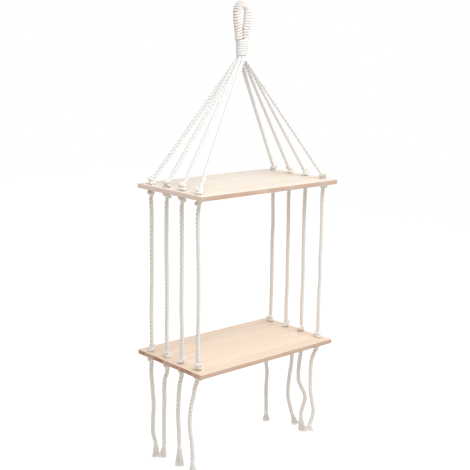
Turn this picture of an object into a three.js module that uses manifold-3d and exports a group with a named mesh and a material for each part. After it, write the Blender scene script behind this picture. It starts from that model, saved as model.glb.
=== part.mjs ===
// Hanging rope shelf. Two boards of glued pine strips hang on eight legs of cotton rope,
// which are knotted above and below each board and gathered into one bound loop.
// Millimetres, +Z up. The origin is the hook seat, inside the top of the loop. +X runs
// along the boards' long side and +Y to the back. Holes are numbered 1 to 4 from the back.
import * as THREE from 'three';
import Module from 'manifold-3d';
import { mergeVertices } from 'three/addons/utils/BufferGeometryUtils.js';

const wasm = await Module();
wasm.setup();

// Clearances
const contactGap = 0.3;
const glueLine = 0.1;
const ropeGap = 0.5;
const ribGap = 1.25;
const cutOverrun = 2;

// Boards
const boardLength = 400;
const boardDepth = 225;
const boardThickness = 10;
const cornerRadius = 3;
const stripCount = 7;
const upperEdgeStripShares = [0.13, 0.104];
const lowerEdgeStripShares = [0.108, 0.14];

// Rope, and the holes that it passes through. Their rows lie at shares of the depth from the
// middle, the back row first
const ropeDiameter = 8;
const holeDiameter = 9.5;
const holeInset = 16.5;
const holeRowShares = [0.3644, 0.1178, -0.1178, -0.3644];

// Stopper knots, as the radius and height of the lump from its free pole to the board
const knotDiameter = 14.5;
const knotHeight = 11;
const knotShares = [[0, 1], [0.55, 0.93], [0.92, 0.68], [1, 0.4], [0.84, 0.08], [0.58, 0]];

// Levels below the hook seat
const collarDrop = 67;
const collarHeight = 36;
const upperShelfDrop = 377;
const shelfSpacing = 380;

// Hanging loop, its serving and the collar under it
const loopWidth = 32;
const legBundleDiameter = 11.6;
const wrapThickness = 2.4;
const servingTurns = 24;
const collarTurns = 8;
const collarTopDiameter = 22;
const collarFootDiameter = 19;
const legPullShare = 0.4;
const quarterArcShare = 0.5523;

// Throat under the collar, where the legs fan out
const throatDiameter = 18.8;
const throatDrop = 1;
const fanDrop = 5.6;

// Free tails, each from its exit under the knot: sideways, back and up. Then the length and
// the end width of its frayed brush
const tails = {
  left_1: {
    route: [[0, 0, 0], [-0.5, 0.5, -8], [-1, 1, -20], [-1, 1, -34], [0, 0.5, -48], [1, -0.5, -62],
      [1.5, -1.5, -77], [2, -2.5, -92], [2.5, -3, -107], [2.5, -2.5, -122], [2, -1.5, -137],
      [2, -1, -152], [1.5, -1, -167], [3, -2.5, -182], [6, -5.5, -198]],
    brush: [36, 16],
  },
  left_2: {
    route: [[0, 0, 0], [0.5, -1, -7], [0, -0.5, -14], [-2.5, 2, -24], [-4, 3.5, -37],
      [-4, 4, -50], [-4, 4, -64], [-4, 3.5, -78], [-4.5, 3.5, -92], [-5, 3, -106],
      [-5, 3.5, -120], [-4.5, 4, -136], [-4.5, 4.5, -152], [-4, 4.5, -170], [-4, 4, -188]],
    brush: [26, 14],
  },
  left_3: {
    route: [[0, 0, 0], [-0.5, 0, -7], [-2, 1, -15], [-3.5, 2.5, -26], [-4.5, 3.5, -38],
      [-5, 4, -50], [-5, 4.5, -62], [-5.5, 4.5, -75], [-5.5, 5, -88], [-5.5, 5, -101],
      [-5, 4.5, -115], [-4.5, 4, -129], [-4, 3.5, -143], [-3.5, 3, -157], [-3.5, 3, -170]],
    brush: [44, 18],
  },
  left_4: {
    route: [[0, 0, 0], [-2, 2, -7], [-4, 4, -15], [-5.5, 5, -26], [-7, 6, -38], [-9, 8, -51],
      [-11, 9.5, -65], [-12, 10.5, -80], [-12.5, 11, -96], [-12, 10.5, -112], [-11, 9, -127],
      [-9, 8, -142], [-8, 7, -158], [-7.5, 6.5, -174], [-7.5, 6.5, -191]],
    brush: [16, 13],
  },
  right_1: {
    route: [[0, 0, 0], [-0.5, 0.5, -8], [-2, 2, -18], [-4, 3.5, -32], [-5.5, 5, -48],
      [-6.5, 5.5, -64], [-6.5, 5.5, -80], [-5.5, 4.5, -96], [-4, 3.5, -113], [-4.5, 4, -130],
      [-5, 4.5, -147], [-5, 4.5, -165], [-4.5, 4, -183], [-4.5, 3.5, -202], [-4, 3.5, -221]],
    brush: [22, 15],
  },
  right_2: {
    route: [[0, 0, 0], [2, -2, -7], [5, -4.5, -16], [9, -8, -28], [12, -10.5, -42],
      [12.5, -11, -57], [12, -10.5, -73], [10.5, -9.5, -89], [9, -8, -105], [8, -7, -121],
      [7, -6.5, -138], [7, -6.5, -155], [9, -8.5, -172], [12.5, -11, -189], [16, -14, -205]],
    brush: [28, 14],
  },
  right_3: {
    route: [[0, 0, 0], [0.5, 0, -8], [1, -0.5, -18], [0.5, -0.5, -30], [-1, 1, -45],
      [-2, 2, -61], [-3, 2.5, -77], [-2.5, 2.5, -92], [-1.5, 1.5, -105], [3, -2.5, -118],
      [7.5, -6.5, -131], [10.5, -9.5, -144], [9.5, -8.5, -158], [6, -5.5, -174], [4, -3.5, -192]],
    brush: [42, 17],
  },
  right_4: {
    route: [[0, 0, 0], [-2, 2, -7], [-5, 4.5, -15], [-8, 7, -26], [-10, 9, -39],
      [-11, 9.5, -53], [-11, 9.5, -68], [-10.5, 9.5, -84], [-10.5, 9, -100], [-9.5, 8.5, -116],
      [-7.5, 6.5, -132], [-5.5, 4.5, -147], [-3.5, 3, -162], [-5.5, 4.5, -181], [-10, 9, -201]],
    brush: [18, 13],
  },
};
const brushShares = [[0, 0], [1, 0], [0.94, 0.3], [0.78, 0.6], [0.55, 0.9], [0, 1]];

// Facets
const ropeSides = 10;
const knotSides = 8;
const ballShare = 0.92;
const holeSides = 16;
const capSteps = 3;
const cornerSteps = 4;
const tailSteps = 10;
const loopSteps = 28;
const stepsPerTurn = 16;
const ribSides = 6;

// Places that follow from the sizes
const ropeRadius = ropeDiameter / 2;
const legRadius = legBundleDiameter / 2 + contactGap + wrapThickness;
const collarTop = -collarDrop;
const collarFoot = collarTop - collarHeight;
const throatRadius = throatDiameter / 2;
const apex = new THREE.Vector3(0, 0, collarFoot - throatDrop);
const upperTop = -upperShelfDrop;
const lowerTop = upperTop - shelfSpacing;
const holeX = boardLength / 2 - holeInset;
const holeRows = holeRowShares.map((share) => share * boardDepth);
const knotReach = contactGap + knotHeight + contactGap;

const pine = new THREE.MeshStandardMaterial({ color: 0xf7e8d6, roughness: 0.62, metalness: 0 });
const cotton = new THREE.MeshStandardMaterial({ color: 0xf1ede7, roughness: 0.92, metalness: 0 });
const wrapCord = new THREE.MeshStandardMaterial({ color: 0xf3efe9, roughness: 0.9, metalness: 0 });

const shelf = new THREE.Group();

function addPiece(name, geometry, material, place = new THREE.Vector3()) {
  const mesh = new THREE.Mesh(geometry, material);
  mesh.name = name;
  mesh.position.copy(place);
  shelf.add(mesh);
  return mesh;
}

// Joining and cutting
function toSolid(geometry) {
  const bare = geometry.clone();
  bare.deleteAttribute('normal');
  bare.deleteAttribute('uv');
  const merged = mergeVertices(bare);
  const corners = merged.index.array;
  const kept = [];
  for (let i = 0; i < corners.length; i += 3) {
    const [a, b, c] = corners.slice(i, i + 3);
    if (a !== b && b !== c && c !== a) kept.push(a, b, c);
  }
  return new wasm.Manifold(new wasm.Mesh({
    numProp: 3,
    vertProperties: new Float32Array(merged.attributes.position.array),
    triVerts: new Uint32Array(kept),
  }));
}

function toGeometry(solid) {
  const mesh = solid.getMesh();
  const geometry = new THREE.BufferGeometry();
  geometry.setAttribute('position', new THREE.BufferAttribute(mesh.vertProperties, 3));
  geometry.setIndex(new THREE.BufferAttribute(mesh.triVerts, 1));
  geometry.computeVertexNormals();
  return geometry;
}

// A solid of revolution about +Z, from [radius, height] points that run upwards
function turned(profile, sides) {
  const points = profile.map(([radius, height]) => new THREE.Vector2(radius, height));
  return new THREE.LatheGeometry(points, sides).rotateX(Math.PI / 2);
}

// A closed tube through rings of points
function ringedTube(rings) {
  const sides = rings[0].length;
  const last = rings.length - 1;
  const corners = [];
  for (let i = 0; i < last; i += 1) {
    for (let j = 0; j < sides; j += 1) {
      const a = i * sides + j;
      const b = i * sides + ((j + 1) % sides);
      corners.push(a, b + sides, b, a, a + sides, b + sides);
    }
  }
  for (let j = 1; j < sides - 1; j += 1) {
    corners.push(0, j, j + 1);
    corners.push(last * sides, last * sides + j + 1, last * sides + j);
  }
  const geometry = new THREE.BufferGeometry().setFromPoints(rings.flat());
  geometry.setIndex(corners);
  geometry.computeVertexNormals();
  return geometry;
}

// The line down the middle of the loop, from the foot of the left leg to that of the right
function loopLine() {
  const footX = legRadius + ropeGap / 2;
  const footZ = collarTop + contactGap;
  const halfWidth = loopWidth / 2;
  const crownZ = legRadius;
  const shoulderZ = crownZ - halfWidth;
  const pull = (shoulderZ - footZ) * legPullShare;
  const bow = halfWidth * quarterArcShare;
  const at = (x, z) => new THREE.Vector3(x, 0, z);
  const line = new THREE.CurvePath();
  line.add(new THREE.CubicBezierCurve3(
    at(-footX, footZ), at(-footX, footZ + pull), at(-halfWidth, shoulderZ - pull),
    at(-halfWidth, shoulderZ),
  ));
  line.add(new THREE.CubicBezierCurve3(
    at(-halfWidth, shoulderZ), at(-halfWidth, shoulderZ + bow), at(-bow, crownZ), at(0, crownZ),
  ));
  line.add(new THREE.CubicBezierCurve3(
    at(0, crownZ), at(bow, crownZ), at(halfWidth, shoulderZ + bow), at(halfWidth, shoulderZ),
  ));
  line.add(new THREE.CubicBezierCurve3(
    at(halfWidth, shoulderZ), at(halfWidth, shoulderZ - pull), at(footX, footZ + pull),
    at(footX, footZ),
  ));
  return line;
}

function circleShape(radius, sides) {
  const shape = new THREE.Shape();
  shape.absarc(0, 0, radius, 0, 2 * Math.PI);
  return new THREE.Shape(shape.getPoints(sides).slice(0, sides));
}

function ropeAlong(curve, radius, steps) {
  return new THREE.ExtrudeGeometry(circleShape(radius, ropeSides), {
    steps, bevelEnabled: false, extrudePath: curve,
  });
}

// One cord wound round a core that follows a line in the XZ plane. Each rib is as wide as
// its pitch less the gap, and both ends run straight for one thickness
function winding(name, line, turns, firstCoreRadius, lastCoreRadius) {
  const length = line.getLength();
  const pitch = (length - 2 * contactGap) / (turns + 1);
  const ribHalf = (pitch - ribGap) / 2;
  const stations = turns * stepsPerTurn;
  const rings = [];
  const ringAt = (station, tuck) => {
    const turn = station / stepsPerTurn;
    const angle = 2 * Math.PI * turn;
    const middle = contactGap + pitch * (turn + 1 / 2);
    const ring = [];
    for (let j = 0; j < ribSides; j += 1) {
      const side = (2 * Math.PI * (j + 1 / 2)) / ribSides;
      const share = (middle + ribHalf * Math.sin(side)) / length;
      const along = line.getTangentAt(share);
      const across = new THREE.Vector3(0, 1, 0);
      const inPlane = across.clone().cross(along);
      const core = THREE.MathUtils.lerp(firstCoreRadius, lastCoreRadius, share);
      const wall = (wrapThickness / 2) * (1 + Math.cos(side) / Math.cos(Math.PI / ribSides));
      const radius = core + contactGap + wall;
      ring.push(line.getPointAt(share)
        .addScaledVector(inPlane, radius * Math.cos(angle) - tuck * Math.sin(angle))
        .addScaledVector(across, radius * Math.sin(angle) + tuck * Math.cos(angle)));
    }
    return ring;
  };
  rings.push(ringAt(0, -wrapThickness));
  for (let station = 0; station <= stations; station += 1) rings.push(ringAt(station, 0));
  rings.push(ringAt(stations, wrapThickness));
  console.log(`${name}: least gap to itself ${leastGap(rings).toFixed(2)} mm`);
  return ringedTube(rings);
}

// The least distance between points that lie half a turn or more apart along a winding
function leastGap(rings) {
  let least = Infinity;
  for (let i = 0; i < rings.length; i += 1) {
    for (let k = i + stepsPerTurn / 2; k < rings.length; k += 1) {
      for (const p of rings[i]) for (const q of rings[k]) least = Math.min(least, p.distanceTo(q));
    }
  }
  return least;
}

// Loop core, its serving, the collar and the gathered ropes inside the collar
function addHanger() {
  const line = loopLine();
  addPiece('loop_core', ropeAlong(line, legBundleDiameter / 2, loopSteps), cotton);
  const legCore = legBundleDiameter / 2;
  addPiece('loop_serving', winding('serving', line, servingTurns, legCore, legCore), wrapCord);
  const collarLine = new THREE.LineCurve3(
    new THREE.Vector3(0, 0, collarFoot), new THREE.Vector3(0, 0, collarTop),
  );
  const footCore = collarFootDiameter / 2;
  const topCore = collarTopDiameter / 2;
  addPiece('collar_wrap', winding('collar', collarLine, collarTurns, footCore, topCore), wrapCord);
  const bundleFoot = apex.z + throatRadius + contactGap;
  const footShare = (bundleFoot - collarFoot) / collarHeight;
  const bundleFootRadius = THREE.MathUtils.lerp(footCore, topCore, footShare);
  const bundle = turned([[0, bundleFoot], [bundleFootRadius, bundleFoot], [topCore, collarTop],
    [0, collarTop]], holeSides);
  addPiece('gathered_ropes', bundle, cotton);
  const throat = new THREE.SphereGeometry(throatRadius, holeSides, ropeSides);
  addPiece('rope_throat', throat, cotton, apex);
}

// Boards
function boardPlan() {
  const x = boardLength / 2;
  const y = boardDepth / 2;
  const r = cornerRadius;
  const plan = new THREE.Shape();
  plan.moveTo(r - x, -y);
  plan.lineTo(x - r, -y);
  plan.absarc(x - r, r - y, r, -Math.PI / 2, 0);
  plan.lineTo(x, y - r);
  plan.absarc(x - r, y - r, r, 0, Math.PI / 2);
  plan.lineTo(r - x, y);
  plan.absarc(r - x, y - r, r, Math.PI / 2, Math.PI);
  plan.lineTo(-x, r - y);
  plan.absarc(r - x, r - y, r, Math.PI, (3 * Math.PI) / 2);
  return plan;
}

function drilledBoard() {
  const slab = new THREE.ExtrudeGeometry(boardPlan(), {
    depth: boardThickness, bevelEnabled: false, curveSegments: cornerSteps,
  }).translate(0, 0, -boardThickness);
  let board = toSolid(slab);
  const drillLength = boardThickness + 2 * cutOverrun;
  for (const x of [-holeX, holeX]) {
    for (const y of holeRows) {
      const drill = new THREE.CylinderGeometry(
        holeDiameter / 2, holeDiameter / 2, drillLength, holeSides,
      ).rotateX(Math.PI / 2).translate(x, y, -boardThickness / 2);
      board = board.subtract(toSolid(drill));
    }
  }
  return board;
}

// The seams' places as shares of the depth from the back edge
function stripShares([first, last]) {
  const shares = [0];
  const inner = (1 - first - last) / (stripCount - 2);
  for (let i = 0; i < stripCount - 1; i += 1) shares.push(first + i * inner);
  shares.push(1);
  return shares;
}

function addBoard(name, board, top, edgeShares) {
  const shares = stripShares(edgeShares);
  for (let i = 0; i < stripCount; i += 1) {
    const backCut = i === 0 ? -cutOverrun : glueLine / 2;
    const frontCut = i === stripCount - 1 ? -cutOverrun : glueLine / 2;
    const back = boardDepth * (1 / 2 - shares[i]) - backCut;
    const front = boardDepth * (1 / 2 - shares[i + 1]) + frontCut;
    const window = new THREE.BoxGeometry(
      boardLength + 2 * cutOverrun, back - front, boardThickness + 2 * cutOverrun,
    ).translate(0, (back + front) / 2, -boardThickness / 2);
    const strip = toGeometry(board.intersect(toSolid(window)));
    addPiece(`${name}_strip_${i + 1}`, strip, pine, new THREE.Vector3(0, 0, top));
  }
}

// Rope pieces
function knotProfile() {
  return knotShares.map(([radiusShare, heightShare]) => [
    (knotDiameter / 2) * radiusShare, contactGap + knotHeight * heightShare,
  ]);
}

// One length of rope with a knot under the board, a stretch in the hole and a knot above
function knotPair() {
  const above = knotProfile();
  const profile = above.map(([radius, height]) => [radius, -boardThickness - height]);
  profile.push([ropeRadius, -boardThickness - contactGap], [ropeRadius, contactGap]);
  profile.push(...above.reverse());
  return turned(profile, knotSides);
}

function roundEndedRope(length) {
  const profile = [];
  for (let i = 0; i <= capSteps; i += 1) {
    const angle = (Math.PI / 2) * (i / capSteps);
    profile.push([ropeRadius * Math.sin(angle), ropeRadius * (1 - Math.cos(angle))]);
  }
  profile[0][0] = 0;
  const upper = profile.map(([radius, height]) => [radius, length - height]).reverse();
  return turned([...profile, ...upper], ropeSides);
}

// A sling's end stops short of its knot by the knot's reach towards the throat
function addSling(name, side, row, holeY) {
  const turn = (Math.PI / 4) * (row + 1 / 2);
  const fanRadius = (ropeDiameter + ropeGap) / (2 * Math.sin(Math.PI / 8));
  const start = new THREE.Vector3(
    side * fanRadius * Math.sin(turn), fanRadius * Math.cos(turn), apex.z - fanDrop,
  );
  const knotMiddle = contactGap + knotHeight / 2;
  const knot = new THREE.Vector3(side * holeX, holeY, upperTop + knotMiddle);
  const direction = knot.clone().sub(start).normalize();
  const slope = Math.hypot(direction.x, direction.y);
  const reach = Math.max(...knotProfile().map(
    ([radius, height]) => radius * slope - (height - knotMiddle) * direction.z,
  ));
  const end = knot.addScaledVector(direction, -reach - contactGap);
  const rope = new THREE.CylinderGeometry(
    ropeRadius, ropeRadius, start.distanceTo(end), ropeSides,
  );
  const mesh = addPiece(name, rope, cotton, start.clone().add(end).multiplyScalar(1 / 2));
  mesh.quaternion.setFromUnitVectors(new THREE.Vector3(0, 1, 0), direction);
}

// A tail starts as a ball on its swing axis, inside the rope's flats, and ends in its brush
function tailGeometry({ route, brush: [brushLength, brushWidth] }) {
  const points = route.map((place) => new THREE.Vector3(...place));
  points[0].set(0, 0, -ropeRadius);
  const curve = new THREE.CatmullRomCurve3(points);
  const ball = new THREE.SphereGeometry(ropeRadius * ballShare, knotSides, capSteps + 1)
    .rotateX(Math.PI / 2).translate(0, 0, -ropeRadius);
  const down = curve.getTangentAt(1);
  const brush = turned(brushShares.map(([radiusShare, heightShare]) => [
    (brushWidth / 2) * radiusShare, (brushLength + ropeRadius) * heightShare,
  ]), knotSides);
  brush.applyQuaternion(
    new THREE.Quaternion().setFromUnitVectors(new THREE.Vector3(0, 0, -1), down),
  );
  const tip = curve.getPointAt(1).addScaledVector(down, brushLength);
  brush.translate(...tip.toArray());
  const rope = toSolid(ropeAlong(curve, ropeRadius, tailSteps));
  return toGeometry(rope.add(toSolid(ball)).add(toSolid(brush)));
}

function addRopes() {
  const midLength = shelfSpacing - boardThickness - 2 * knotReach;
  for (const [sideName, side] of [['left', -1], ['right', 1]]) {
    holeRows.forEach((holeY, row) => {
      const leg = `${sideName}_${row + 1}`;
      const at = (z) => new THREE.Vector3(side * holeX, holeY, z);
      addSling(`sling_${leg}`, side, row, holeY);
      addPiece(`upper_knots_${leg}`, knotPair(), cotton, at(upperTop));
      addPiece(`mid_rope_${leg}`, roundEndedRope(midLength), cotton, at(lowerTop + knotReach));
      addPiece(`lower_knots_${leg}`, knotPair(), cotton, at(lowerTop));
      const exit = lowerTop - boardThickness - knotReach;
      addPiece(`tail_${leg}`, tailGeometry(tails[leg]), cotton, at(exit));
    });
  }
}

addHanger();
const board = drilledBoard();
addBoard('upper', board, upperTop, upperEdgeStripShares);
addBoard('lower', board, lowerTop, lowerEdgeStripShares);
addRopes();

export default shelf;
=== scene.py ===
# Hanging rope shelf: two boards of glued pine strips on eight legs of laid cotton rope. The
# legs are knotted above and below each board, gathered in a wrapped collar and end in a loop
# that hangs on a hook. Metres, in the part's own frame: the origin is the hook seat inside the
# loop, +X runs along the boards, +Y to the back and +Z up.
import math

import bmesh
import bpy
import numpy as np
from mathutils import Matrix, Vector


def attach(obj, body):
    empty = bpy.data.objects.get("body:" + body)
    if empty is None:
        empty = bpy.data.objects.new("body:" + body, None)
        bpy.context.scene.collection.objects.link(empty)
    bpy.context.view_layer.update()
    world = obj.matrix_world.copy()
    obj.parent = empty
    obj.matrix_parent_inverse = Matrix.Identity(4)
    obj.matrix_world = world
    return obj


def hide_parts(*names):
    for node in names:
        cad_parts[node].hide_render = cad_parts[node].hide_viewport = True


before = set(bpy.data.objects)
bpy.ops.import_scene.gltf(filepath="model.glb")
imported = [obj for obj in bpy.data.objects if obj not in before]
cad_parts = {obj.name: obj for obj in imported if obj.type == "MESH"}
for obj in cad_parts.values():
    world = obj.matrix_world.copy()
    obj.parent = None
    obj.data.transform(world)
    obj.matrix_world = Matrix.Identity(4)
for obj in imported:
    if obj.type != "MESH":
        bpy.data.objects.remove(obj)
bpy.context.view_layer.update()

# Viewpoint
# The shelf is seen from its left front and a little above, through a longish lens that stands
# just over two metres away. The view turns a touch clockwise, as the shelf hangs in it.
view_azimuth = math.radians(-41.54)
view_elevation = math.radians(11.93)
view_roll = math.radians(0.88)
view_distance = 2.217
view_target = Vector((-0.0112, 0, -0.4982))
lens_mm = 75.44
sensor_mm = 36

back = Vector((
    math.sin(view_azimuth) * math.cos(view_elevation),
    -math.cos(view_azimuth) * math.cos(view_elevation),
    math.sin(view_elevation),
))
level = Vector((math.cos(view_azimuth), math.sin(view_azimuth), 0))
upright = back.cross(level)
right = level * math.cos(view_roll) + upright * math.sin(view_roll)
up = upright * math.cos(view_roll) - level * math.sin(view_roll)


def add_object(name, data):
    """A new object in the scene that shows the given data."""
    made = bpy.data.objects.new(name, data)
    bpy.context.scene.collection.objects.link(made)
    return made


camera = add_object("camera", bpy.data.cameras.new("camera"))
camera.data.lens = lens_mm
camera.data.sensor_width = sensor_mm
camera.matrix_world = Matrix.Translation(view_target + back * view_distance) @ Matrix(
    (right, up, back)
).transposed().to_4x4()
bpy.context.scene.camera = camera

# Laid cotton rope
# Natural cotton, 8 mm, three strands laid right-handed, each of many soft yarns. All ropes
# on the shelf are this one, and the thin wrapping cord is laid the same way.
rope_width = 0.008
lay_length = 0.027
strand_share = 0.48
yarns_round_strand = 8
yarn_depth = 0.09
profile_steps = 3
rope_step = 0.0012


def link(tree, source, target):
    """A link from an output to an input."""
    tree.links.new(source, target)


def node(tree, kind, inputs=None, **settings):
    """A node with its settings, and values or links for its inputs by name or number."""
    made = tree.nodes.new(kind)
    for name, value in settings.items():
        setattr(made, name, value)
    for name, value in (inputs or {}).items():
        if isinstance(value, bpy.types.NodeSocket):
            link(tree, value, made.inputs[name])
        else:
            made.inputs[name].default_value = value
    return made


def figure(tree, operation, *values):
    """A Math node's output."""
    return node(tree, "ShaderNodeMath", dict(enumerate(values)), operation=operation).outputs[0]


def vector(tree, operation, *values, scale=None):
    """A Vector Math node's vector output."""
    inputs = dict(enumerate(values))
    if scale is not None:
        inputs["Scale"] = scale
    return node(tree, "ShaderNodeVectorMath", inputs, operation=operation).outputs["Vector"]


def measure(tree, operation, *values):
    """A Vector Math node's number output."""
    return node(tree, "ShaderNodeVectorMath", dict(enumerate(values)),
                operation=operation).outputs["Value"]


def named(tree, name, kind="FLOAT"):
    """A saved attribute, in a geometry tree."""
    return node(
        tree, "GeometryNodeInputNamedAttribute", {"Name": name}, data_type=kind
    ).outputs["Attribute"]


def stored(tree, shape, name, value, kind="FLOAT"):
    """A shape with a value saved at each of its points."""
    return node(tree, "GeometryNodeStoreNamedAttribute", {
        "Geometry": shape, "Name": name, "Value": value}, data_type=kind).outputs[0]


def moved(tree, shape, offset):
    """A shape with its points moved."""
    return node(tree, "GeometryNodeSetPosition", {
        "Geometry": shape, "Offset": offset}).outputs[0]


def finished(tree, shape, material, result):
    """The tree, its result linked to a shape that wears its material."""
    whole = node(tree, "GeometryNodeRealizeInstances", {"Geometry": shape})
    clad = node(tree, "GeometryNodeSetMaterial", {
        "Geometry": whole.outputs[0], "Material": material})
    link(tree, clad.outputs[0], result)
    return tree


def route_sides(tree):
    """A route's tangent, its outward side, and the side across both."""
    outward = named(tree, "outward", "FLOAT_VECTOR")
    tangent = tree.nodes.new("GeometryNodeInputTangent").outputs[0]
    across = vector(tree, "CROSS_PRODUCT", tangent, outward)
    return tangent, outward, vector(tree, "NORMALIZE", across)


def new_tree(name, sockets):
    """A geometry node tree with its group input and output, and a named socket for each size."""
    tree = bpy.data.node_groups.new(name, "GeometryNodeTree")
    tree.interface.new_socket("Geometry", in_out="OUTPUT", socket_type="NodeSocketGeometry")
    tree.interface.new_socket("Geometry", in_out="INPUT", socket_type="NodeSocketGeometry")
    for socket, kind in sockets.items():
        tree.interface.new_socket(socket, in_out="INPUT", socket_type="NodeSocket" + kind)
    given = tree.nodes.new("NodeGroupInput")
    return tree, given.outputs, tree.nodes.new("NodeGroupOutput").inputs["Geometry"]


def plain_mesh(base):
    """The finished mesh of a base object, which is then removed."""
    evaluated = base.evaluated_get(bpy.context.evaluated_depsgraph_get())
    mesh = bpy.data.meshes.new_from_object(evaluated)
    bpy.data.objects.remove(base)
    return mesh


def grown(name, base, tree, **values):
    """The piece that a geometry tree makes of a base object."""
    modifier = base.modifiers.new("build", "NODES")
    modifier.node_group = tree
    for item in tree.interface.items_tree:
        if item.in_out == "INPUT" and item.name in values:
            modifier[item.identifier] = values[item.name]
    mesh = plain_mesh(base)
    mesh.name = name
    return add_object(name, mesh)


def laid_rope_tree():
    """Strands laid round a route that knows its outward side. Each strand's yarns turn the
    other way about it, so that they lie along the rope."""
    tree, given, result = new_tree("laid_rope", {
        "Width": "Float", "Lay": "Float", "Strands": "Int", "Strand Share": "Float",
        "Yarns": "Int", "Material": "Material",
    })
    line = node(tree, "GeometryNodeMeshToCurve", {"Mesh": given["Geometry"]})
    even = node(tree, "GeometryNodeResampleCurve", {
        "Curve": line.outputs[0], "Length": rope_step}, mode="LENGTH")
    place = tree.nodes.new("GeometryNodeInputPosition").outputs[0]
    centred = stored(tree, even.outputs[0], "centre", place, "FLOAT_VECTOR")
    strands = node(tree, "GeometryNodeDuplicateElements", {
        "Geometry": centred, "Amount": given["Strands"]}, domain="SPLINE")
    along = tree.nodes.new("GeometryNodeSplineParameter").outputs["Length"]
    turns = figure(tree, "ADD", figure(tree, "DIVIDE", along, given["Lay"]), figure(
        tree, "DIVIDE", strands.outputs["Duplicate Index"], given["Strands"]))
    angle = figure(tree, "MULTIPLY", turns, math.tau)
    outward, side = route_sides(tree)[1:]
    half_width = figure(tree, "MULTIPLY", given["Width"], 0.5)
    strand_radius = figure(tree, "MULTIPLY", half_width, given["Strand Share"])
    away = figure(tree, "MULTIPLY", figure(tree, "SUBTRACT", half_width, strand_radius),
                  named(tree, "girth"))
    outwards = vector(tree, "SCALE", outward, scale=figure(
        tree, "MULTIPLY", figure(tree, "COSINE", angle), away))
    sideways = vector(tree, "SCALE", side, scale=figure(
        tree, "MULTIPLY", figure(tree, "SINE", angle), away))
    tagged = strands.outputs[0]
    for name, value in (("along", along), ("strand", strands.outputs["Duplicate Index"])):
        tagged = stored(tree, tagged, name, value)
    placed = moved(tree, tagged, vector(tree, "ADD", outwards, sideways))
    untwist = figure(tree, "MULTIPLY", angle, figure(
        tree, "SUBTRACT", 1.0, figure(tree, "DIVIDE", 1.0, given["Strand Share"])))
    facing = node(tree, "GeometryNodeSetCurveNormal", {
        "Curve": placed, "Normal": vector(
            tree, "ADD", vector(tree, "SCALE", outward, scale=figure(tree, "COSINE", untwist)),
            vector(tree, "SCALE", side, scale=figure(tree, "SINE", untwist)))}, mode="FREE")
    circle = node(tree, "GeometryNodeCurvePrimitiveCircle", {
        "Resolution": figure(tree, "MULTIPLY", given["Yarns"], profile_steps), "Radius": 1.0})
    around = tree.nodes.new("GeometryNodeSplineParameter").outputs["Factor"]
    ripple = figure(tree, "COSINE", figure(
        tree, "MULTIPLY", figure(tree, "MULTIPLY", around, given["Yarns"]), math.tau))
    marked = stored(tree, circle.outputs["Curve"], "round", place, "FLOAT_VECTOR")
    fluted = moved(tree, marked, vector(tree, "SCALE", place, scale=figure(
        tree, "MULTIPLY", ripple, yarn_depth)))
    skin = node(tree, "GeometryNodeCurveToMesh", {
        "Curve": facing.outputs[0], "Profile Curve": stored(tree, fluted, "furrow", ripple),
        "Scale": figure(tree, "MULTIPLY", strand_radius, named(tree, "girth")),
        "Fill Caps": True})
    smooth = node(tree, "GeometryNodeSetShadeSmooth", {"Geometry": skin.outputs[0]})
    # How deep each point lies between strands or between a cord's turns, saved for the painted
    # shade there
    from_centre = vector(tree, "SUBTRACT", place, named(tree, "centre", "FLOAT_VECTOR"))
    height = measure(tree, "DOT_PRODUCT", from_centre, outward)
    reach = measure(tree, "LENGTH", from_centre)
    radius = figure(tree, "MULTIPLY", half_width, named(tree, "girth"))
    flatter = figure(tree, "SUBTRACT", 1.0, named(tree, "flatness"))
    shade_between_turns = figure(tree, "MULTIPLY", flatter, figure(
        tree, "SUBTRACT", 1.0, figure(tree, "DIVIDE", height, radius)))
    painted_groove_shade = stored(tree, smooth.outputs[0], "painted_groove_shade", figure(
        tree, "ADD", shade_between_turns, figure(
            tree, "SUBTRACT", 1.0, figure(tree, "DIVIDE", reach, radius))))
    flattened = moved(tree, painted_groove_shade, vector(tree, "SCALE", outward, scale=figure(
        tree, "MULTIPLY", height, figure(tree, "MULTIPLY", flatter, -1.0))))
    return finished(tree, flattened, given["Material"], result)


def steps(line):
    """How far apart a line's neighbouring points are."""
    return np.linalg.norm(np.diff(line, axis=0), axis=1)


def even_line(line, step):
    """The same line with evenly spaced points about a step apart."""
    along = np.concatenate([[0], np.cumsum(steps(line))])
    at = np.linspace(0, along[-1], max(2, round(along[-1] / step) + 1))
    return np.stack([np.interp(at, along, line[:, k]) for k in range(3)], axis=1)


def smooth_line(points, step=rope_step):
    """A smooth line through the given points, as a limp cord takes it."""
    points = np.array(points, float)
    at = np.concatenate([[0], np.cumsum(np.sqrt(steps(points)))])
    slopes = np.gradient(points, at, axis=0)
    samples_per_point = 40
    fine = np.linspace(0, at[-1], samples_per_point * len(points))
    i = np.clip(np.searchsorted(at, fine, side="right") - 1, 0, len(points) - 2)
    gap = (at[i + 1] - at[i])[:, None]
    t = (fine - at[i])[:, None] / gap
    line = (1 + 2 * t) * (1 - t) ** 2 * points[i] + t * (1 - t) ** 2 * gap * slopes[i]
    line += t * t * (3 - 2 * t) * points[i + 1] - t * t * (1 - t) * gap * slopes[i + 1]
    return even_line(line, step)


def carried_side(line):
    """A side direction at each point of a line, carried along it without a twist."""
    tangents = np.gradient(line, axis=0)
    tangents /= np.linalg.norm(tangents, axis=1)[:, None]
    any_direction = (0.3, 1, 0.2)
    side = np.cross(tangents[0], any_direction)
    sides = np.empty_like(line)
    for i, tangent in enumerate(tangents):
        side = side - tangent * (side @ tangent)
        side /= np.linalg.norm(side)
        sides[i] = side
    return sides


def save_attribute(mesh, name, values, kind="FLOAT"):
    """Saves a number or a vector at each point of a mesh."""
    field = "vector" if kind == "FLOAT_VECTOR" else "value"
    mesh.attributes.new(name, kind, "POINT").data.foreach_set(
        field, np.asarray(values, np.float32).ravel())


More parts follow.
